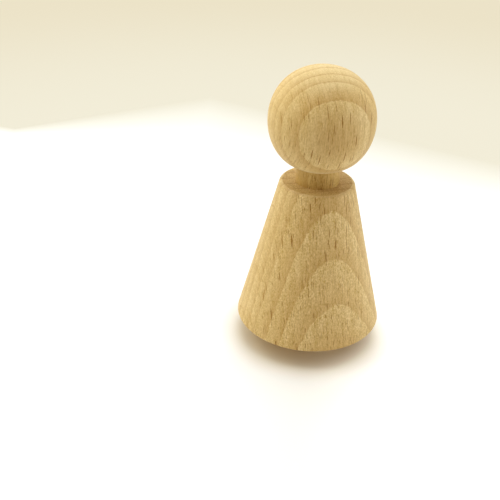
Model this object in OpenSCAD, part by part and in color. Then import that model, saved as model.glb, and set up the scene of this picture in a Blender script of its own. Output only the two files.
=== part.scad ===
// Turned beech peg doll: a bored ball for a head, a tapered body, a plain dowel between them
// as the neck, and a plug under the base that the doll stands on and plugs in with.
// The axis of the lathe is Z. The origin is the middle of the plug's lower end.

/* [Head] */
// Diameter of the turned ball
head_d = 20.8; // [16:0.1:26]
// Clear height between the shoulder and the lowest point of the ball
neck_gap = 2.2; // [1:0.1:6]
// Depth of dowel held in the ball, from the mouth of its bore
head_seat = 8; // [5:0.5:12]

/* [Body] */
// Diameter of the body at its base
base_d = 30; // [26:0.5:40]
// Diameter of the body at its shoulder
shoulder_d = 14.8; // [12:0.1:20]
// Height of the body from base to shoulder
body_h = 31; // [28:0.5:45]
// Depth of dowel held in the shoulder
body_seat = 11; // [7:0.5:14]

/* [Neck dowel] */
// Diameter of the dowel that shows as the neck
neck_d = 8.8; // [6:0.1:10]
// Chamfer at each end of the dowel and on the tenon
lead_chamfer = 0.8; // [0.3:0.1:1.5]

/* [Base peg] */
// Diameter of the plug below the base
peg_d = 17; // [14:0.1:22]
// Height that the plug stands out of the base
peg_h = 4.5; // [3:0.1:9]
// Diameter of the tenon turned on the plug
tenon_d = 10; // [7:0.1:12]
// Length of the tenon
tenon_h = 9; // [6:0.5:12]

/* [Edges] */
// Radius that eases the rim of the base
rim_ease = 0.3; // [0.2:0.1:1.5]
// Radius that eases the shoulder
shoulder_ease = 0.3; // [0.2:0.1:1.2]
// Radius that eases the plug's lower end
peg_ease = 0.4; // [0.2:0.1:1.2]

/* [Joints] */
// Glue film all round a dowel or tenon in its bore
glue_film = 0.05; // [0.02:0.01:0.15]
// Room left past the end of a dowel or tenon for spare glue
glue_pocket = 0.6; // [0.2:0.1:1.5]
// Countersink that lets the plug's shoulder seat flat on the base
seat_relief = 0.5; // [0.2:0.1:1]
// Diameter of the pit that the drill's centre spur leaves
spur_d = 2.4; // [1:0.1:4]
// Depth of the pit that the drill's centre spur leaves
spur_h = 1.4; // [0.5:0.1:2.5]

/* [Hidden] */
$fn = 96;
// Straight steps along an eased edge, seen in section
ease_steps = 8;

head_r = head_d / 2;
base_r = base_d / 2;
shoulder_r = shoulder_d / 2;
neck_r = neck_d / 2;
peg_r = peg_d / 2;
tenon_r = tenon_d / 2;
neck_bore_r = neck_r + glue_film;
tenon_bore_r = tenon_r + glue_film;

// Slope of the body's side, and the sharp corner whose eased rim comes out base_d wide
side_angle = atan(body_h / (base_r - shoulder_r));
rim_corner_r = base_r + rim_ease * (1 / tan(side_angle / 2) - 1);

// Cuts run past the face that they open by this much, which clears the ball's rounding too
overrun = base_d / 10;

// Heights above the plug's lower end
shoulder_z = peg_h + body_h;
ball_low_z = shoulder_z + neck_gap;
head_z = ball_low_z + head_r;
// The bore opens where its wall meets the ball, a little above the ball's lowest point
mouth_z = head_z - sqrt(head_r * head_r - neck_bore_r * neck_bore_r);
dowel_low_z = shoulder_z - body_seat;
dowel_top_z = mouth_z + head_seat;

// Colours of bare beech: side grain is honey, end grain is greyer
side_grain = [0.80, 0.67, 0.44];
pale_grain = [0.84, 0.72, 0.50];
end_grain = [0.72, 0.61, 0.43];

// Direction from one point of an outline to another
function toward(from, to) = (to - from) / norm(to - from);

// Points along the arc that eases the outward corner p between its neighbours a and b,
// on an outline that runs anticlockwise
function eased_corner(a, p, b, r) =
    let (
        to_a = toward(p, a),
        to_b = toward(p, b),
        half = acos(to_a * to_b) / 2,
        centre = p + toward([0, 0], to_a + to_b) * r / sin(half),
        first = p + to_a * r / tan(half) - centre,
        start = atan2(first.y, first.x),
        turn = 180 - 2 * half
    )
    [
        for (i = [0:ease_steps])
            let (at = start + turn * i / ease_steps)
                centre + r * [cos(at), sin(at)]
    ];

// An outline whose corners are eased, each by its own radius, or left sharp at zero
function eased_outline(points, eases) =
    let (last = len(points) - 1)
    [
        for (i = [0:last])
            let (a = points[i == 0 ? last : i - 1], b = points[i == last ? 0 : i + 1])
                each eases[i] == 0 ? [points[i]] : eased_corner(a, points[i], b, eases[i])
    ];

// A blind hole drilled upwards from the origin by a bit with a centre spur
module blind_bore(r, depth) {
    translate([0, 0, -overrun])
        cylinder(r = r, h = depth + overrun);
    translate([0, 0, depth])
        cylinder(r1 = spur_d / 2, r2 = 0, h = spur_h);
}

module head() {
    color(side_grain)
        difference() {
            translate([0, 0, head_z])
                sphere(r = head_r);
            translate([0, 0, mouth_z])
                blind_bore(neck_bore_r, head_seat + glue_pocket);
        }
}

module neck_dowel() {
    length = dowel_top_z - dowel_low_z;
    color(pale_grain)
        translate([0, 0, dowel_low_z])
            rotate_extrude()
                polygon([
                    [0, 0],
                    [neck_r - lead_chamfer, 0],
                    [neck_r, lead_chamfer],
                    [neck_r, length - lead_chamfer],
                    [neck_r - lead_chamfer, length],
                    [0, length]
                ]);
}

module body() {
    color(side_grain)
        translate([0, 0, peg_h])
            difference() {
                rotate_extrude()
                    polygon(eased_outline(
                        [[0, 0], [rim_corner_r, 0], [shoulder_r, body_h], [0, body_h]],
                        [0, rim_ease, shoulder_ease, 0]
                    ));
                // Bore for the dowel, drilled down from the shoulder
                translate([0, 0, body_h])
                    mirror([0, 0, 1])
                        blind_bore(neck_bore_r, body_seat + glue_pocket);
                // Bore for the tenon, drilled up from the base, and its countersink
                blind_bore(tenon_bore_r, tenon_h + glue_pocket);
                cylinder(r1 = tenon_bore_r + seat_relief, r2 = tenon_bore_r, h = seat_relief);
            }
}

module base_peg() {
    top = peg_h + tenon_h;
    color(end_grain)
        rotate_extrude()
            polygon(eased_outline(
                [
                    [0, 0],
                    [peg_r, 0],
                    [peg_r, peg_h],
                    [tenon_r, peg_h],
                    [tenon_r, top - lead_chamfer],
                    [tenon_r - lead_chamfer, top],
                    [0, top]
                ],
                [0, peg_ease, 0, 0, 0, 0, 0]
            ));
}

head();
neck_dowel();
body();
base_peg();
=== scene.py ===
import bpy
import math
from mathutils import Matrix, Vector


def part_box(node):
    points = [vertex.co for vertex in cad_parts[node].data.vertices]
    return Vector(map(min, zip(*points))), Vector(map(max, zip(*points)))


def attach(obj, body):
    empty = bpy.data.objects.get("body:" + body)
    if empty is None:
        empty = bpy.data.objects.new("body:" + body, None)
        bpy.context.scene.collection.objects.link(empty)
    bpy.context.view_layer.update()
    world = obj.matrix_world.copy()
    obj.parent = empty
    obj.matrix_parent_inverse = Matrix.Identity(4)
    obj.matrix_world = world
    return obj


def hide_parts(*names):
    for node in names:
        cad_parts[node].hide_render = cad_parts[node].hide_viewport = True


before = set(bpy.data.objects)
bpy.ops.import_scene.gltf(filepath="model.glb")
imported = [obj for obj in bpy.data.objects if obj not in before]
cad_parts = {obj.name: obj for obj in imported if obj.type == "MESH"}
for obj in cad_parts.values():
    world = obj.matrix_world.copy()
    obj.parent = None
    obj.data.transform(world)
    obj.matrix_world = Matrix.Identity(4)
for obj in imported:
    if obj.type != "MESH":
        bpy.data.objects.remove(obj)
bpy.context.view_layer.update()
scene = bpy.context.scene
mm = 0.001
print("frame loaded:", ", ".join(sorted(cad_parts)))


# Camera: it stands in front of the doll, a little to the left, and looks down at it.
camera = {
    "place": (-12.80, -145.98, 104.78),  # mm from the point the doll stands on
    "lookDown": 30.45,  # degrees below level
    "roll": 1.94,  # degrees
    "focalPixels": 815.5,
    "framePixels": 500,
    "sensor": 36,  # mm
    "nearest": 1,  # mm, what it sees begins here
    "furthest": 10000,  # mm, and ends here
}


def makeCamera():
    down = math.radians(camera["lookDown"])
    roll = math.radians(camera["roll"])
    ahead = Vector((0, math.cos(down), -math.sin(down)))
    level = Vector((1, 0, 0))
    above = level.cross(ahead)
    right = level * math.cos(roll) + above * math.sin(roll)
    up = above * math.cos(roll) - level * math.sin(roll)
    turn = Matrix((right, up, -ahead)).transposed()
    data = bpy.data.cameras.new("camera")
    data.sensor_width = camera["sensor"]
    data.lens = camera["focalPixels"] / camera["framePixels"] * camera["sensor"]
    data.clip_start = camera["nearest"] * mm
    data.clip_end = camera["furthest"] * mm
    taker = bpy.data.objects.new("camera", data)
    taker.matrix_world = Matrix.Translation(Vector(camera["place"]) * mm) @ turn.to_4x4()
    scene.collection.objects.link(taker)
    scene.camera = taker


makeCamera()
print("camera placed")


# Small helpers for node trees. A value may be a number, a tuple or another node's output.
def feed(tree, value, socket):
    if isinstance(value, bpy.types.NodeSocket):
        tree.links.new(value, socket)
    else:
        socket.default_value = value


def addNode(tree, kind, values=None, **settings):
    node = tree.nodes.new(kind)
    for name, value in settings.items():
        setattr(node, name, value)
    for name, value in (values or {}).items():
        feed(tree, value, node.inputs[name])
    return node


def calc(tree, operation, *values):
    node = addNode(tree, "ShaderNodeMath", operation=operation)
    for value, socket in zip(values, node.inputs):
        feed(tree, value, socket)
    return node.outputs[0]


def total(tree, *values):
    out = values[0]
    for value in values[1:]:
        out = calc(tree, "ADD", out, value)
    return out


def centred(tree, value, span):
    # spreads a value of 0 to 1 evenly about zero
    return calc(tree, "MULTIPLY", calc(tree, "SUBTRACT", value, 0.5), span)


def vectorCalc(tree, operation, *values):
    node = addNode(tree, "ShaderNodeVectorMath", operation=operation)
    for value, socket in zip(values, node.inputs):
        feed(tree, value, socket)
    return node.outputs["Value"] if operation in ("DOT_PRODUCT", "LENGTH") else node.outputs[0]


def scaled(tree, vector, amount):
    node = addNode(tree, "ShaderNodeVectorMath", {"Scale": amount}, operation="SCALE")
    feed(tree, vector, node.inputs[0])
    return node.outputs[0]


def xyz(tree, vector):
    return addNode(tree, "ShaderNodeSeparateXYZ", {"Vector": vector}).outputs


def channels(tree, colour):
    return addNode(tree, "ShaderNodeSeparateColor", {"Color": colour}).outputs


def fade(tree, value, low, high, lowOut=0.0, highOut=1.0):
    # a soft step from lowOut at low to highOut at high
    node = addNode(tree, "ShaderNodeMapRange", interpolation_type="SMOOTHSTEP")
    for number, socket in zip((value, low, high, lowOut, highOut), node.inputs):
        feed(tree, number, socket)
    return node.outputs[0]


def blend(tree, amount, first, second):
    node = addNode(tree, "ShaderNodeMix", data_type="FLOAT")
    feed(tree, amount, node.inputs[0])
    feed(tree, first, node.inputs[2])
    feed(tree, second, node.inputs[3])
    return node.outputs[0]


def blendColour(tree, amount, first, second):
    node = addNode(tree, "ShaderNodeMix", data_type="RGBA")
    feed(tree, amount, node.inputs[0])
    feed(tree, first, node.inputs[6])
    feed(tree, second, node.inputs[7])
    return node.outputs[2]


def tinted(tree, amount, colour, shade):
    return blendColour(tree, amount, colour, vectorCalc(tree, "MULTIPLY", colour, shade))


def noise(tree, place, scale, detail, roughness):
    values = {
        "Vector": vectorCalc(tree, "MULTIPLY", place, scale),
        "Scale": 1.0,
        "Detail": detail,
        "Roughness": roughness,
    }
    return addNode(tree, "ShaderNodeTexNoise", values).outputs[0]


def cells(tree, place):
    values = {"Vector": place, "Scale": 1.0, "Randomness": 1.0}
    return addNode(tree, "ShaderNodeTexVoronoi", values, feature="F1").outputs


def seenDirectly(tree):
    # one where the surface is looked at, by itself, in a reflection or through glass
    ray = addNode(tree, "ShaderNodeLightPath").outputs
    mirrored = calc(tree, "MAXIMUM", ray["Is Glossy Ray"], ray["Is Transmission Ray"])
    return calc(tree, "MAXIMUM", ray["Is Camera Ray"], mirrored)


# Beech, cut so that its bark side faces the camera. All pieces read one block of timber, so
# the rings and the fibres run on from head to neck, body and peg. In the block x runs along
# the rings, y from heart to bark and z up the trunk, all in mm.
timber = {
    "barkSide": 16,  # degrees that the bark side is turned from -Y towards +X
    # how squarely a surface faces one way: where an effect begins, where it is full and, for
    # some, its strength at each
    "facesBark": (0.15, 0.75),
    "facesAlongRings": (0.50, 0.95, 1.0, 0.70),  # rings and grain are calmer there
    "facesUp": (0.80, 0.99),  # where end grain shows
    "cutAcross": (0.965, 0.995),  # a flat cut straight across the trunk
    "slant": (0.55, 0.90),  # where the fibres are cut at a slant
    "early": (0.772, 0.533, 0.199, 1),
    "late": (0.632, 0.385, 0.115, 1),
    "deepening": (1.0, 1.45, 2.8),  # darker wood is also redder
    "slantGreyAndSheen": (0.97, 1.00, 1.10),  # greyer where the surface slants steeply: partly the cut's own look, partly a painted reflection of the whiter light from above
    # flat end cuts darker: partly the end grain's own colour, partly painted shade for the shoulder under
    # the ball
    "endGrainAndShade": (0.79, 0.735, 0.56),
}


def placeInBlock(tree):
    source = addNode(tree, "ShaderNodeTexCoord").outputs
    swing = (0, 0, math.radians(180 - timber["barkSide"]))
    values = {"Vector": source["Object"], "Rotation": swing, "Scale": (1 / mm,) * 3}
    place = addNode(tree, "ShaderNodeMapping", values)
    values = {"Vector": source["Normal"], "Rotation": swing}
    facing = addNode(tree, "ShaderNodeMapping", values, vector_type="NORMAL")
    return place.outputs[0], facing.outputs[0]


def howCut(tree, facing, endShown):
    # how the surface cuts the block, each from zero to one
    alongRings, outwards, up = (calc(tree, "ABSOLUTE", share) for share in xyz(tree, facing))
    return {
        "steep": up,
        "facesBark": fade(tree, outwards, *timber["facesBark"]),
        "calm": fade(tree, alongRings, *timber["facesAlongRings"]),
        "endGrain": fade(tree, up, *timber["facesUp"]),
        "across": calc(tree, "MULTIPLY", fade(tree, up, *timber["cutAcross"]), endShown),
    }


# Yearly rings: nearly flat sheets, each darkening slowly until the next year's pale wood
rings = {
    # mm from the axis towards the bark at which each year's growth ends
    "yearEnds": (
        -19.0, -16.5, -14.1, -11.6, -9.2, -6.7, -4.25, -1.8,
        0.65, 3.1, 5.05, 8.0, 10.45, 12.9, 15.4, 17.9,
    ),
    "pithAway": 120,  # mm behind the axis, where the heart of the tree was
    "twist": 0.22,  # degrees more for each mm further down the trunk
    "untwistedAt": 38,  # mm above the floor
    # waves in the rings: how quickly they follow each other along x, y and z, with the
    # noise's detail and roughness, and how far they reach in mm
    "slowWave": ((0.08, 0.08, 0.04), 1.0, 0.5),
    "slowReach": 0.30,
    "quickWave": ((0.5, 0.3, 0.15), 2.0, 0.5),
    "quickReach": 0.04,
    "jagPattern": (2.0, 0.25, 0.13),
    "jagReach": 0.06,
    # how dark the wood is at each part of the year, as a whole and in the line that ends it
    "slowDark": ((0.0, 0.0), (0.2, 0.15), (0.5, 0.40), (0.8, 0.75), (0.98, 1.0), (1.0, 0.5)),
    "lineDark": ((0.0, 0.35), (0.03, 0.0), (0.80, 0.0), (0.95, 0.9), (0.985, 1.0), (1.0, 0.5)),
    "yearStrength": (0.30, 0.80),  # spread from year to year, and the weakest year
    "endLine": 0.9,  # end grain shows the line most
    "endSlow": 0.25,
}


def ringDepth(tree, place):
    # how far a spot lies towards the bark, counted across the bent and twisted rings
    x, y, z = xyz(tree, place)
    fromUntwisted = calc(tree, "SUBTRACT", z, rings["untwistedAt"])
    lean = calc(tree, "MULTIPLY", fromUntwisted, math.radians(rings["twist"]))
    twisted = calc(tree, "MULTIPLY", x, lean)
    bow = calc(tree, "DIVIDE", calc(tree, "POWER", x, 2.0), rings["pithAway"] * 2)
    steps = cells(tree, vectorCalc(tree, "MULTIPLY", place, rings["jagPattern"]))
    jag = centred(tree, channels(tree, steps["Color"])[0], rings["jagReach"] * 2)
    slow = centred(tree, noise(tree, place, *rings["slowWave"]), rings["slowReach"] * 2)
    quick = centred(tree, noise(tree, place, *rings["quickWave"]), rings["quickReach"] * 2)
    return total(tree, y, twisted, bow, jag, slow, quick)


def yearCount(tree, depth):
    # a curve that rises by one from each year's end to the next
    ends = rings["yearEnds"]
    low, span, years = ends[0], ends[-1] - ends[0], len(ends) - 1
    share = calc(tree, "DIVIDE", calc(tree, "SUBTRACT", depth, low), span)
    curve = addNode(tree, "ShaderNodeFloatCurve", {"Value": share})
    points = curve.mapping.curves[0].points
    for index, end in enumerate(ends[1:-1], 1):
        points.new((end - low) / span, index / years)
    for point in points:
        point.handle_type = "VECTOR"
    curve.mapping.update()
    return calc(tree, "MULTIPLY", curve.outputs[0], years)


def darkening(tree, season, stops):
    ramp = addNode(tree, "ShaderNodeValToRGB", {"Fac": season})
    elements = ramp.color_ramp.elements
    elements[0].position, elements[1].position = stops[0][0], stops[-1][0]
    elements[0].color = (stops[0][1],) * 3 + (1,)
    elements[1].color = (stops[-1][1],) * 3 + (1,)
    for position, shade in stops[1:-1]:
        elements.new(position).color = (shade, shade, shade, 1)
    return ramp.outputs[0]


def lateWood(tree, place, cut):
    # from zero in a year's first wood to one where it ends
    year = yearCount(tree, ringDepth(tree, place))
    season = calc(tree, "FRACT", year)
    slowDark = darkening(tree, season, rings["slowDark"])
    lineDark = darkening(tree, season, rings["lineDark"])
    whichYear = calc(tree, "FLOOR", year)
    chance = addNode(tree, "ShaderNodeTexWhiteNoise", {"W": whichYear}, noise_dimensions="1D")
    strength = calc(tree, "MULTIPLY_ADD", chance.outputs["Value"], *rings["yearStrength"])
    onSide = calc(tree, "MULTIPLY", slowDark, calc(tree, "MULTIPLY", strength, cut["calm"]))
    slowPart = calc(tree, "MULTIPLY", slowDark, rings["endSlow"])
    onEnd = calc(tree, "MULTIPLY_ADD", lineDark, rings["endLine"], slowPart)
    return blend(tree, cut["endGrain"], onSide, onEnd)


# Rays: flat ribbons of cells, thin along the rings, long from heart to bark, a few mm tall
rays = {
    # mm along x, y and z
    "big": {"spacing": (0.50, 14.0, 2.4), "halfSize": (0.11, 6.5, 1.30), "offset": (3.1, 5.7, 2.9)},
    "small": {"spacing": (0.40, 8.0, 1.3), "halfSize": (0.075, 3.8, 0.60), "offset": (11.7, 2.3, 7.9)},
    "smallShare": 0.9,
    "size": (0.75, 0.60),  # spread from ray to ray, and the smallest, as shares of the half size
    "edge": (1.0, 0.45),  # where each begins and where it is full, as shares of its own size
    "strength": (0.90, 0.10),  # spread, and the weakest
    "fewStrong": 2.5,  # higher leaves fewer strong ones
    "sideShade": (0.84, 0.75, 0.52, 1),  # shares of the wood's own colour
    "endShade": (0.46, 0.26, 0.0, 1),
    "steepFade": (0.55, 0.92, 1.0, 0.30),  # they show less where they are cut steeply
    "whenOpen": (0.30, 0.70),  # what full openness adds, and what shows without it
}

# Pores and fibres: so many to the mm along x, y and z, then a noise's detail and roughness
grain = {
    "fibre": ((5.2, 3.4, 0.42), 2.0, 0.6),
    "column": ((2.3, 0.4, 0.045), 2.0, 0.5),
    "speckle": ((4.6, 4.6, 2.6), 1.0, 0.5),
    "blotch": ((0.16, 0.16, 0.08), 2.0, 0.5),
    "fibreTone": 0.42,  # how much each one shades the wood
    "columnTone": 0.34,
    "blotchTone": 0.18,
    "speckleTone": (-0.45, 0.80),  # what late wood adds, and in early wood
    "steepFade": (0.50, 0.90, 1.0, 0.65),
    "pores": (6.0, 6.0, 0.9),
    "poreEdge": (0.42, 0.16),  # where each begins and where it is full
    "poreAmount": (0.25, 0.30),  # what end grain adds, and on a side
    "poreShade": (0.60, 0.50, 0.25),
}


def rayFlecks(tree, place, spacing, halfSize, offset):
    moved = vectorCalc(tree, "ADD", place, offset)
    shrunk = vectorCalc(tree, "DIVIDE", moved, spacing)
    cell = cells(tree, shrunk)
    away = vectorCalc(tree, "SUBTRACT", shrunk, cell["Position"])
    inSizes = vectorCalc(tree, "MULTIPLY", away, tuple(s / h for s, h in zip(spacing, halfSize)))
    chance = channels(tree, cell["Color"])
    size = calc(tree, "MULTIPLY_ADD", chance[0], *rays["size"])
    fewStrong = calc(tree, "POWER", chance[1], rays["fewStrong"])
    strength = calc(tree, "MULTIPLY_ADD", fewStrong, *rays["strength"])
    reach = calc(tree, "DIVIDE", vectorCalc(tree, "LENGTH", inSizes), size)
    return calc(tree, "MULTIPLY", fade(tree, reach, *rays["edge"]), strength)


def woodMarks(tree, place):
    bigRays = rayFlecks(tree, place, **rays["big"])
    smallRays = rayFlecks(tree, place, **rays["small"])
    poreCells = cells(tree, vectorCalc(tree, "MULTIPLY", place, grain["pores"]))
    marks = {name: noise(tree, place, *grain[name]) for name in ("fibre", "column", "speckle", "blotch")}
    marks["rays"] = calc(tree, "MAXIMUM", bigRays, calc(tree, "MULTIPLY", smallRays, rays["smallShare"]))
    marks["pores"] = fade(tree, poreCells["Distance"], *grain["poreEdge"])
    return marks


def woodColour(tree, cut, late, marks, openness):
    speckleTone = calc(tree, "MULTIPLY_ADD", late, *grain["speckleTone"])
    tone = total(
        tree,
        centred(tree, marks["fibre"], grain["fibreTone"]),
        centred(tree, marks["column"], grain["columnTone"]),
        centred(tree, marks["speckle"], calc(tree, "MULTIPLY", speckleTone, openness)),
        centred(tree, marks["blotch"], grain["blotchTone"]),
    )
    # the grain shows less where the wood is cut steeply, as near the top of the ball
    shown = calc(tree, "MAXIMUM", fade(tree, cut["steep"], *grain["steepFade"]), cut["across"])
    tone = calc(tree, "MULTIPLY", calc(tree, "MULTIPLY", tone, shown), cut["calm"])
    deepened = vectorCalc(tree, "ADD", scaled(tree, timber["deepening"], tone), (1, 1, 1))
    plain = blendColour(tree, late, timber["early"], timber["late"])
    colour = vectorCalc(tree, "MULTIPLY", plain, deepened)

    rayShade = blendColour(tree, cut["facesBark"], rays["sideShade"], rays["endShade"])
    onSlope = calc(tree, "MULTIPLY", marks["rays"], fade(tree, cut["steep"], *rays["steepFade"]))
    whenOpen = calc(tree, "MULTIPLY_ADD", openness, *rays["whenOpen"])
    rayAmount = calc(tree, "MINIMUM", calc(tree, "MULTIPLY", onSlope, whenOpen), 1.0)
    colour = tinted(tree, rayAmount, colour, rayShade)
    poreAmount = calc(tree, "MULTIPLY_ADD", cut["endGrain"], *grain["poreAmount"])
    colour = tinted(tree, calc(tree, "MULTIPLY", marks["pores"], poreAmount), colour, grain["poreShade"])
    # partly painted reflection: steep slants, as on the ball's top, come out greyer and bluer
    colour = tinted(tree, fade(tree, cut["steep"], *timber["slant"]), colour, timber["slantGreyAndSheen"])
    # partly painted shade: flat end cuts, the shoulder under the ball among them, are darkened
    return tinted(tree, cut["across"], colour, timber["endGrainAndShade"])


# Finish: bare wood, sanded fine
finish = {
    "roughness": 0.54,
    "fibreRoughness": 0.12,  # more on the fibres and in end grain
    "endRoughness": 0.12,
    "ior": 1.5,
    "specular": 0.3,
    "sheen": 0.05,
    "sheenRoughness": 0.45,
    # how far each mark stands up or lies in, as a share of the piece's relief
    "heights": {"rays": -0.5, "pores": -0.6, "fibre": 0.8, "speckle": 0.5, "late": 0.35},
}


def woodRoughness(tree, cut, marks):
    onSide = calc(tree, "MULTIPLY_ADD", marks["fibre"], finish["fibreRoughness"], finish["roughness"])
    return calc(tree, "ADD", onSide, calc(tree, "MULTIPLY", cut["endGrain"], finish["endRoughness"]))


def woodHeight(tree, late, marks):
    sources = {**marks, "late": late}
    heights = [calc(tree, "MULTIPLY", sources[name], share) for name, share in finish["heights"].items()]
    return total(tree, *heights)


def beechTimber():
    tree = bpy.data.node_groups.new("beech timber", "ShaderNodeTree")
    side = tree.interface
    side.new_socket("Colour", in_out="OUTPUT", socket_type="NodeSocketColor")
    side.new_socket("Roughness", in_out="OUTPUT", socket_type="NodeSocketFloat")
    side.new_socket("Height", in_out="OUTPUT", socket_type="NodeSocketFloat")
    side.new_socket("Openness", in_out="INPUT", socket_type="NodeSocketFloat")
    side.new_socket("End Grain", in_out="INPUT", socket_type="NodeSocketFloat")
    given = addNode(tree, "NodeGroupInput").outputs
    out = addNode(tree, "NodeGroupOutput")
    place, facing = placeInBlock(tree)
    cut = howCut(tree, facing, given["End Grain"])
    late = lateWood(tree, place, cut)
    marks = woodMarks(tree, place)
    tree.links.new(woodColour(tree, cut, late, marks, given["Openness"]), out.inputs["Colour"])
    tree.links.new(woodRoughness(tree, cut, marks), out.inputs["Roughness"])
    tree.links.new(woodHeight(tree, late, marks), out.inputs["Height"])
    return tree


timberGroup = beechTimber()
print("beech timber ready")


def beechMaterial(name, piece):
    material = bpy.data.materials.new(name)
    material.use_nodes = True
    tree = material.node_tree
    shader = tree.nodes["Principled BSDF"]
    values = {"Openness": piece["openness"], "End Grain": piece["endShown"]}
    wood = addNode(tree, "ShaderNodeGroup", values, node_tree=timberGroup)
    values = {"Height": wood.outputs["Height"], "Strength": 1.0, "Distance": piece["relief"] * mm}
    bump = addNode(tree, "ShaderNodeBump", values)
    # a share of the timber's colour; on the neck this is painted shade
    colour = vectorCalc(tree, "MULTIPLY", wood.outputs["Colour"], piece["tint"])
    tree.links.new(colour, shader.inputs["Base Color"])
    tree.links.new(wood.outputs["Roughness"], shader.inputs["Roughness"])
    tree.links.new(bump.outputs[0], shader.inputs["Normal"])
    shader.inputs["IOR"].default_value = finish["ior"]
    shader.inputs["Specular IOR Level"].default_value = finish["specular"]
    shader.inputs["Sheen Weight"].default_value = finish["sheen"]
    shader.inputs["Sheen Roughness"].default_value = finish["sheenRoughness"]
    return material


# Turning: an outline of (radius, height) points in mm is swept round the axis.
turning = {
    "turns": 360,  # steps round
    "shownStep": 0.22,  # mm between points along a surface that shows
    "hiddenStep": 1.2,
    "easeSteps": 7,  # along each eased edge
    "unevenness": 0.030,  # mm, hand sanding
    "unevenSize": 5.0,  # mm
    "unevenDetail": 2.0,
    "toolMark": 0.006,  # mm
    "toolPitch": 0.45,  # mm
    "mergeWithin": 0.0005,  # mm, closes the seam and the poles
    "sharpAbove": 40,  # degrees
    "seedShift": 17.0,  # how far apart two seeds lie in the noise
}
shownStep, hiddenStep = turning["shownStep"], turning["hiddenStep"]


def straight(start, end, step):
    count = max(1, round(math.dist(start, end) / step))
    return [(start[0] + (end[0] - start[0]) * i / count, start[1] + (end[1] - start[1]) * i / count)
            for i in range(1, count + 1)]


def path(corners, step):
    points = [corners[0]]
    for start, end in zip(corners, corners[1:]):
        points += straight(start, end, step)
    return points


def easedCorner(before, corner, after, radius):
    # the arc that rounds an outward corner, from one side's tangent point to the other's
    here = Vector(corner)
    back = (Vector(before) - here).normalized()
    on = (Vector(after) - here).normalized()
    half = math.acos(back.dot(on)) / 2
    centre = here + (back + on).normalized() * radius / math.sin(half)
    first = here + back * radius / math.tan(half) - centre
    last = here + on * radius / math.tan(half) - centre
    points = []
    for i in range(turning["easeSteps"] + 1):
        spoke = first.lerp(last, i / turning["easeSteps"]).normalized() * radius
        points.append(tuple(centre + spoke))
    return points


def sweptOutline(tree, given):
    # a grid with one column for each step round and one row for each point of the outline
    size = addNode(tree, "GeometryNodeAttributeDomainSize", {"Geometry": given["Geometry"]})
    rows = size.outputs["Point Count"]
    columns = calc(tree, "ADD", given["Turns"], 1.0)
    values = {"Size X": 1.0, "Size Y": 1.0, "Vertices X": columns, "Vertices Y": rows}
    grid = addNode(tree, "GeometryNodeMeshGrid", values)
    at = addNode(tree, "GeometryNodeInputPosition").outputs[0]
    across, along = xyz(tree, at)[:2]
    angle = calc(tree, "MULTIPLY", calc(tree, "ADD", across, 0.5), math.tau)
    lastRow = calc(tree, "SUBTRACT", rows, 1.0)
    row = calc(tree, "ROUND", calc(tree, "MULTIPLY", calc(tree, "ADD", along, 0.5), lastRow))
    values = {"Geometry": given["Geometry"], "Value": at, "Index": row}
    sample = addNode(tree, "GeometryNodeSampleIndex", values, data_type="FLOAT_VECTOR")
    point = xyz(tree, sample.outputs[0])
    values = {
        "X": calc(tree, "MULTIPLY", point[0], calc(tree, "COSINE", angle)),
        "Y": calc(tree, "MULTIPLY", point[0], calc(tree, "SINE", angle)),
        "Z": point[2],
    }
    swung = addNode(tree, "ShaderNodeCombineXYZ", values)
    values = {"Geometry": grid.outputs[0], "Position": swung.outputs[0]}
    swept = addNode(tree, "GeometryNodeSetPosition", values)
    values = {"Geometry": swept.outputs[0], "Distance": given["Merge Within"]}
    return addNode(tree, "GeometryNodeMergeByDistance", values).outputs[0]


def sandedSurface(tree, given, geometry):
    # sanding and tool marks only take wood away
    at = addNode(tree, "GeometryNodeInputPosition").outputs[0]
    shift = calc(tree, "MULTIPLY", given["Seed"], turning["seedShift"])
    shifted = addNode(tree, "ShaderNodeCombineXYZ", {"X": shift}).outputs[0]
    inSizes = scaled(tree, at, calc(tree, "DIVIDE", 1.0, given["Uneven Size"]))
    values = {
        "Vector": vectorCalc(tree, "ADD", inSizes, shifted),
        "Scale": 1.0,
        "Detail": turning["unevenDetail"],
    }
    lumps = addNode(tree, "ShaderNodeTexNoise", values).outputs[0]
    lumpCut = calc(tree, "MULTIPLY", lumps, given["Unevenness"])
    marksUp = calc(tree, "DIVIDE", xyz(tree, at)[2], given["Tool Mark Pitch"])
    groove = calc(tree, "SINE", calc(tree, "MULTIPLY", marksUp, math.tau))
    grooveShare = calc(tree, "MULTIPLY_ADD", groove, 0.5, 0.5)
    toolCut = calc(tree, "MULTIPLY", grooveShare, given["Tool Mark Depth"])
    cut = calc(tree, "MULTIPLY", calc(tree, "ADD", lumpCut, toolCut), -1.0)
    away = scaled(tree, addNode(tree, "GeometryNodeInputNormal").outputs[0], cut)
    return addNode(tree, "GeometryNodeSetPosition", {"Geometry": geometry, "Offset": away}).outputs[0]


def smoothFaces(tree, given, geometry):
    # smooth all over, but for the edges that fold sharply
    values = {"Geometry": geometry, "Shade Smooth": True}
    smooth = addNode(tree, "GeometryNodeSetShadeSmooth", values, domain="FACE")
    fold = addNode(tree, "GeometryNodeInputMeshEdgeAngle").outputs[0]
    isSharp = calc(tree, "GREATER_THAN", fold, given["Sharp Above"])
    values = {"Geometry": smooth.outputs[0], "Selection": isSharp, "Shade Smooth": False}
    return addNode(tree, "GeometryNodeSetShadeSmooth", values, domain="EDGE").outputs[0]


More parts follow.
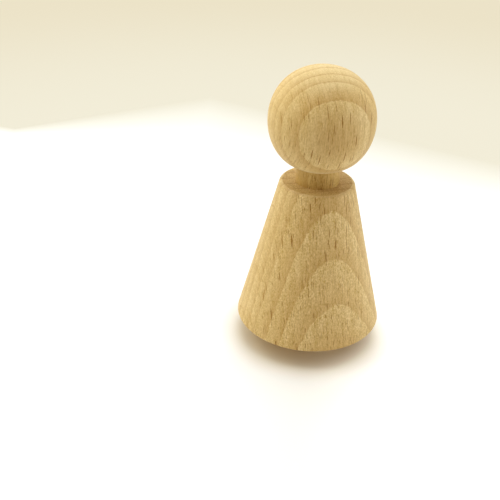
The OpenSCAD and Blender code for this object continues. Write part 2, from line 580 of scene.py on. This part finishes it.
def turnedTree():
    tree = bpy.data.node_groups.new("turned on a lathe", "GeometryNodeTree")
    tree.is_modifier = True
    side = tree.interface
    side.new_socket("Geometry", in_out="OUTPUT", socket_type="NodeSocketGeometry")
    for name, kind in (
        ("Geometry", "Geometry"),
        ("Turns", "Int"),
        ("Unevenness", "Float"),
        ("Uneven Size", "Float"),
        ("Tool Mark Depth", "Float"),
        ("Tool Mark Pitch", "Float"),
        ("Merge Within", "Float"),
        ("Sharp Above", "Float"),
        ("Seed", "Int"),
        ("Wood", "Material"),
    ):
        side.new_socket(name, in_out="INPUT", socket_type="NodeSocket" + kind)
    given = addNode(tree, "NodeGroupInput").outputs
    out = addNode(tree, "NodeGroupOutput")
    sanded = sandedSurface(tree, given, sweptOutline(tree, given))
    shaded = smoothFaces(tree, given, sanded)
    solid = addNode(tree, "GeometryNodeRealizeInstances", {"Geometry": shaded})
    values = {"Geometry": solid.outputs[0], "Material": given["Wood"]}
    finished = addNode(tree, "GeometryNodeSetMaterial", values)
    tree.links.new(finished.outputs[0], out.inputs[0])
    return tree


latheTree = turnedTree()


def turnPiece(name, outline, material, seed, turns=turning["turns"]):
    data = bpy.data.meshes.new(name + " outline")
    points = [(radius * mm, 0, height * mm) for radius, height in outline]
    data.from_pydata(points, [(i, i + 1) for i in range(len(points) - 1)], [])
    blank = bpy.data.objects.new(name + " blank", data)
    scene.collection.objects.link(blank)
    modifier = blank.modifiers.new("lathe", "NODES")
    modifier.node_group = latheTree
    values = {
        "Turns": turns,
        "Unevenness": turning["unevenness"] * mm,
        "Uneven Size": turning["unevenSize"] * mm,
        "Tool Mark Depth": turning["toolMark"] * mm,
        "Tool Mark Pitch": turning["toolPitch"] * mm,
        "Merge Within": turning["mergeWithin"] * mm,
        "Sharp Above": math.radians(turning["sharpAbove"]),
        "Seed": seed,
        "Wood": material,
    }
    for item in latheTree.interface.items_tree:
        if item.in_out == "INPUT" and item.name in values:
            modifier[item.identifier] = values[item.name]
    evaluated = blank.evaluated_get(bpy.context.evaluated_depsgraph_get())
    mesh = bpy.data.meshes.new_from_object(evaluated)
    mesh.name = name
    piece = bpy.data.objects.new(name, mesh)
    scene.collection.objects.link(piece)
    blank.modifiers.clear()
    bpy.data.objects.remove(blank)
    print("turned", name, "with", len(mesh.polygons), "faces")
    return piece


def mmBox(node):
    low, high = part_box(node)
    return [v / mm for v in low], [v / mm for v in high]


dowelLow, dowelHigh = mmBox("neck_dowel")
pegLow, pegHigh = mmBox("base_peg")
bodyLow, bodyHigh = mmBox("body")
headLow, headHigh = mmBox("head")
neckRadius = dowelHigh[0]

# Each piece's wood: openness is how much the open pores speckle it, endShown how much darker
# a flat cut across the grain is, partly painted shade, relief how deep the marks lie in mm,
# tint a share of the timber's own colour, on the neck painted shade.

# Head: a ball with a blind bore for the dowel
head = {
    "glueFilm": 0.01,  # mm, as good as closed where the neck meets the ball
    "pocket": 0.6,  # mm past the dowel's end
    "inset": 0.04,  # mm inside the round ball at its widest
    "fullness": 0.17,  # mm, fuller half way to the poles, as balls off a lathe often are
    "flatness": 0.28,  # mm, flatter round the neck
    "flatFrom": -42,  # degrees of latitude
    "flatTo": -68,
    "mouth": -64.5,  # where the bore opens
    "openness": 0.62,  # the ball is sanded finest
    "endShown": 0.0,
    "relief": 0.02,
    "tint": (1, 1, 1),
    "seed": 3,
}


def ballPoint(radius, centre, latitude):
    share = (head["flatFrom"] - latitude) / (head["flatFrom"] - head["flatTo"])
    share = min(1, max(0, share))
    flat = head["flatness"] * share * share * (3 - 2 * share)
    angle = math.radians(latitude)
    reach = radius + head["fullness"] * math.sin(2 * angle) ** 2 - flat
    return reach * math.cos(angle), centre + reach * math.sin(angle)


def makeHead():
    radius = headHigh[0] - head["inset"]
    centre = headHigh[2] - headHigh[0]
    bore = neckRadius + head["glueFilm"]
    boreEnd = dowelHigh[2] + head["pocket"]
    sweep = 90 - head["mouth"]
    count = round(math.radians(sweep) * radius / shownStep)
    ball = [ballPoint(radius, centre, head["mouth"] + sweep * i / count) for i in range(count)]
    outline = path([(0, boreEnd), (bore, boreEnd), (bore, ball[0][1])], hiddenStep)
    outline += [point for point in ball if point[0] > bore or point[1] > centre]
    outline += [(0, centre + radius)]
    return turnPiece("headBall", outline, beechMaterial("head beech", head), head["seed"])


# Neck: a plain dowel with chamfered ends
neck = {
    "chamfer": 0.8,  # mm
    "shownPast": 1,  # mm that the fine steps go on inside the head and the body
    "turns": 240,  # steps round
    "openness": 0.8,
    "endShown": 1.0,
    "relief": 0.02,
    "tint": (0.84, 0.79, 0.58),  # painted shade: the dowel is darkened for the shade under the ball
    "seed": 5,
}


def makeNeck():
    low, high, chamfer = dowelLow[2], dowelHigh[2], neck["chamfer"]
    narrow = neckRadius - chamfer
    fineFrom = (neckRadius, bodyHigh[2] - neck["shownPast"])
    fineTo = (neckRadius, headLow[2] + neck["shownPast"])
    outline = path([(0, low), (narrow, low), (neckRadius, low + chamfer), fineFrom], hiddenStep)
    outline += straight(fineFrom, fineTo, shownStep)
    outline += path([fineTo, (neckRadius, high - chamfer), (narrow, high), (0, high)], hiddenStep)[1:]
    return turnPiece("neckDowel", outline, beechMaterial("neck beech", neck), neck["seed"], neck["turns"])


# Body: a tapered skirt with eased rims and a blind bore at each end
body = {
    "shoulderRadius": 7.4,  # mm
    "rimEase": 0.3,
    "shoulderEase": 0.8,
    "glueFilm": 0.01,
    "pocket": 0.6,
    "openness": 1.1,
    "endShown": 1.0,
    "relief": 0.02,
    "tint": (1, 1, 1),
    "seed": 11,
}


def makeBody():
    low, high, base = bodyLow[2], bodyHigh[2], bodyHigh[0]
    top = body["shoulderRadius"]
    neckBore = neckRadius + body["glueFilm"]
    tenonBore = peg["tenonRadius"] + body["glueFilm"]
    neckBoreEnd = dowelLow[2] - body["pocket"]
    tenonBoreEnd = pegHigh[2] + body["pocket"]
    # the sharp corner whose eased rim comes out as wide as the base
    slope = math.atan2(high - low, base - top)
    corner = base + body["rimEase"] * (1 / math.tan(slope / 2) - 1)
    rim = easedCorner((0, low), (corner, low), (top, high), body["rimEase"])
    shoulder = easedCorner((corner, low), (top, high), (0, high), body["shoulderEase"])
    outline = path([(0, tenonBoreEnd), (tenonBore, tenonBoreEnd), (tenonBore, low)], hiddenStep)
    outline += straight((tenonBore, low), rim[0], shownStep) + rim[1:]
    outline += straight(rim[-1], shoulder[0], shownStep) + shoulder[1:]
    outline += straight(shoulder[-1], (neckBore, high), shownStep)
    outline += path([(neckBore, high), (neckBore, neckBoreEnd), (0, neckBoreEnd)], hiddenStep)[1:]
    return turnPiece("skirtBody", outline, beechMaterial("body beech", body), body["seed"])


# Peg: the plug that the doll stands on, with a tenon up into the body
peg = {
    "tenonRadius": 5.0,  # mm
    "ease": 0.4,
    "chamfer": 0.8,
    "openness": 1.3,
    "endShown": 1.0,
    "relief": 0.03,
    "tint": (1, 1, 1),
    "seed": 13,
}


def makePeg():
    low, top, radius, seat = pegLow[2], pegHigh[2], pegHigh[0], bodyLow[2]
    tenon, narrow = peg["tenonRadius"], peg["tenonRadius"] - peg["chamfer"]
    edge = easedCorner((0, low), (radius, low), (radius, seat), peg["ease"])
    outline = path([(0, low), edge[0]], shownStep) + edge[1:]
    outline += straight(edge[-1], (radius, seat), shownStep)
    corners = [(radius, seat), (tenon, seat), (tenon, top - peg["chamfer"]), (narrow, top), (0, top)]
    outline += path(corners, hiddenStep)[1:]
    return turnPiece("standingPeg", outline, beechMaterial("peg beech", peg), peg["seed"])


for made, node, slotName in (
    (makeHead(), "head", "head_wood"),
    (makeNeck(), "neck_dowel", "dowel_wood"),
    (makeBody(), "body", "body_wood"),
    (makePeg(), "base_peg", "peg_wood"),
):
    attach(made, "root")
    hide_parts(node)
print("four turned pieces in place")


# Floor: pale board that turns from white near the doll to cream further back, with a painted shadow under
# the doll and painted light round it
floorSet = {
    "half": 1200,  # mm
    "roughness": 0.9,
    "specular": 0.1,
    "near": (1.0, 0.955, 0.88, 1),
    "under": (0.77, 0.65, 0.45, 1),  # painted shadow: the board itself is darker and warmer under the doll's skirt
    "underSkirt": (20, 11),  # mm from the axis, where that begins and where it is full
    # painted light: an emission seen directly lightens the board round the doll, most on its right, so
    # the shadow stays dark only to the left and the front
    "paintedLightColour": (0.05, 0.04, 0.02, 1),
    "paintedLightRight": (0.30, 0.28, 0.23, 1),
    "paintedLightSpread": (10, 16),  # mm from the axis
    "paintedLightFrom": (0.966, -0.259, 0),  # the way the painted light is strongest
    "paintedLightWithin": (0.10, 0.90),  # where it begins and where it is full, 1 being straight that way
    "cream": (0.895, 0.850, 0.690, 1),
    "far": (0.842, 0.768, 0.578, 1),  # the cream deepens with distance
    "farSpread": (130, 300),  # mm from the doll
    "bounce": (0.82, 0.81, 0.79, 1),  # what the floor throws back onto the doll
    # behind the doll: y in mm where the white ends and where the cream is full, each with
    # its slope
    "leftSide": (70, -0.30, 160, 0.58),
    "rightSide": (66, -0.37, 127, -0.55),
    "thinnest": 9,  # mm from white to cream
    "round": (150, 230),  # mm from the doll, the same on every other side
}


def creamShare(tree, place, fromDoll):
    # zero where the board is white, one where it has turned to cream
    x, y = xyz(tree, scaled(tree, place, 1 / mm))[:2]
    start, full = floorSet["round"]
    share = calc(tree, "DIVIDE", calc(tree, "SUBTRACT", fromDoll, start * mm), (full - start) * mm)
    for whiteAt, whiteSlope, creamAt, creamSlope in (floorSet["leftSide"], floorSet["rightSide"]):
        white = calc(tree, "MULTIPLY_ADD", x, whiteSlope, whiteAt)
        cream = calc(tree, "MULTIPLY_ADD", x, creamSlope, creamAt)
        width = calc(tree, "MAXIMUM", calc(tree, "SUBTRACT", cream, white), floorSet["thinnest"])
        behind = calc(tree, "DIVIDE", calc(tree, "SUBTRACT", y, white), width)
        share = calc(tree, "MAXIMUM", share, behind)
    return calc(tree, "MINIMUM", calc(tree, "MAXIMUM", share, 0.0), 1.0)


def rangeFade(tree, fromDoll, spread):
    # from zero at the first distance to one at the second, both in mm
    start, full = spread
    return fade(tree, fromDoll, start * mm, full * mm)


def boardMaterial():
    material = bpy.data.materials.new("pale board")
    material.use_nodes = True
    tree = material.node_tree
    shader = tree.nodes["Principled BSDF"]
    shader.inputs["Roughness"].default_value = floorSet["roughness"]
    shader.inputs["Specular IOR Level"].default_value = floorSet["specular"]
    place = addNode(tree, "ShaderNodeTexCoord").outputs["Object"]
    fromDoll = vectorCalc(tree, "LENGTH", place)
    seen = seenDirectly(tree)

    # painted shadow: the board darkens and warms under the skirt
    under = rangeFade(tree, fromDoll, floorSet["underSkirt"])
    board = blendColour(tree, under, floorSet["near"], floorSet["under"])
    tree.links.new(blendColour(tree, seen, floorSet["bounce"], board), shader.inputs["Base Color"])

    # painted light: emission on the board, strongest towards the doll's right
    direction = vectorCalc(tree, "NORMALIZE", place)
    towards = vectorCalc(tree, "DOT_PRODUCT", direction, floorSet["paintedLightFrom"])
    paintedLightSide = fade(tree, towards, *floorSet["paintedLightWithin"])
    paintedLightColour = blendColour(tree, paintedLightSide, floorSet["paintedLightColour"], floorSet["paintedLightRight"])
    paintedLightAmount = calc(tree, "MULTIPLY", seen, rangeFade(tree, fromDoll, floorSet["paintedLightSpread"]))
    tree.links.new(paintedLightColour, shader.inputs["Emission Color"])
    tree.links.new(paintedLightAmount, shader.inputs["Emission Strength"])

    deepening = rangeFade(tree, fromDoll, floorSet["farSpread"])
    backColour = blendColour(tree, deepening, floorSet["cream"], floorSet["far"])
    back = addNode(tree, "ShaderNodeEmission", {"Color": backColour, "Strength": 1.0})
    backShare = calc(tree, "MULTIPLY", creamShare(tree, place, fromDoll), seen)
    either = addNode(tree, "ShaderNodeMixShader", {"Fac": backShare})
    tree.links.new(shader.outputs[0], either.inputs[1])
    tree.links.new(back.outputs[0], either.inputs[2])
    tree.links.new(either.outputs[0], tree.nodes["Material Output"].inputs[0])
    return material


def makeFloor():
    half = floorSet["half"] * mm
    corners = [(-half, -half, 0), (half, -half, 0), (half, half, 0), (-half, half, 0)]
    data = bpy.data.meshes.new("floor")
    data.from_pydata(corners, [], [(0, 1, 2, 3)])
    floor = bpy.data.objects.new("floor", data)
    scene.collection.objects.link(floor)
    floor.data.materials.append(boardMaterial())


makeFloor()
print("floor laid")


# Lamps: soft panels all round, weakest in front, with the room's own light filling in
lamps = {
    # degrees round from the front towards the viewer's right, degrees up, size in mm, watts, tint
    "top": (0, 88, 220, 0.345, "plain"),
    "frontRight": (45, 12, 125, 0.08, "plain"),
    "right": (90, 12, 125, 0.25, "cool"),
    "backRight": (135, 42, 200, 0.11, "plain"),
    "back": (180, 42, 200, 0.345, "cool"),
    "backLeft": (-135, 42, 200, 0.165, "plain"),
    "backLeftLow": (-135, 12, 125, 0.092, "plain"),
    "left": (-90, 42, 200, 0.25, "warm"),
    "leftLow": (-90, 12, 125, 0.12, "warm"),
}
lighting = {
    # a little cooler than the room's own light, most of all from behind and from the right
    "plain": (0.91, 1.0, 1.07),
    "cool": (0.85, 1.0, 1.22),
    "warm": (0.93, 1.0, 1.00),
    "distance": 300,  # mm
    "aim": (0, 0, 28),  # mm, the middle of the doll
}
room = {
    "light": 0.255,
    "tint": (1.13, 1.0, 0.94, 1),
    "seen": floorSet["far"],
}


def makeLamps():
    for name, (around, up, size, watts, tint) in lamps.items():
        around, up = math.radians(around), math.radians(up)
        away = Vector((math.sin(around) * math.cos(up), -math.cos(around) * math.cos(up), math.sin(up)))
        data = bpy.data.lights.new(name, "AREA")
        data.shape = "DISK"
        data.size = size * mm
        data.energy = watts
        data.color = lighting[tint]
        lamp = bpy.data.objects.new(name, data)
        lamp.location = (Vector(lighting["aim"]) + away * lighting["distance"]) * mm
        lamp.rotation_euler = (-away).to_track_quat("-Z", "Y").to_euler()
        scene.collection.objects.link(lamp)


def makeWorld():
    world = bpy.data.worlds.new("room")
    scene.world = world
    world.use_nodes = True
    tree = world.node_tree
    light = tree.nodes["Background"]
    light.inputs["Color"].default_value = room["tint"]
    light.inputs["Strength"].default_value = room["light"]
    seen = addNode(tree, "ShaderNodeBackground", {"Color": room["seen"], "Strength": 1.0})
    either = addNode(tree, "ShaderNodeMixShader", {"Fac": seenDirectly(tree)})
    tree.links.new(light.outputs[0], either.inputs[1])
    tree.links.new(seen.outputs[0], either.inputs[2])
    tree.links.new(either.outputs[0], tree.nodes["World Output"].inputs[0])


makeLamps()
makeWorld()
scene.view_settings.view_transform = "Standard"
print("lamps lit")
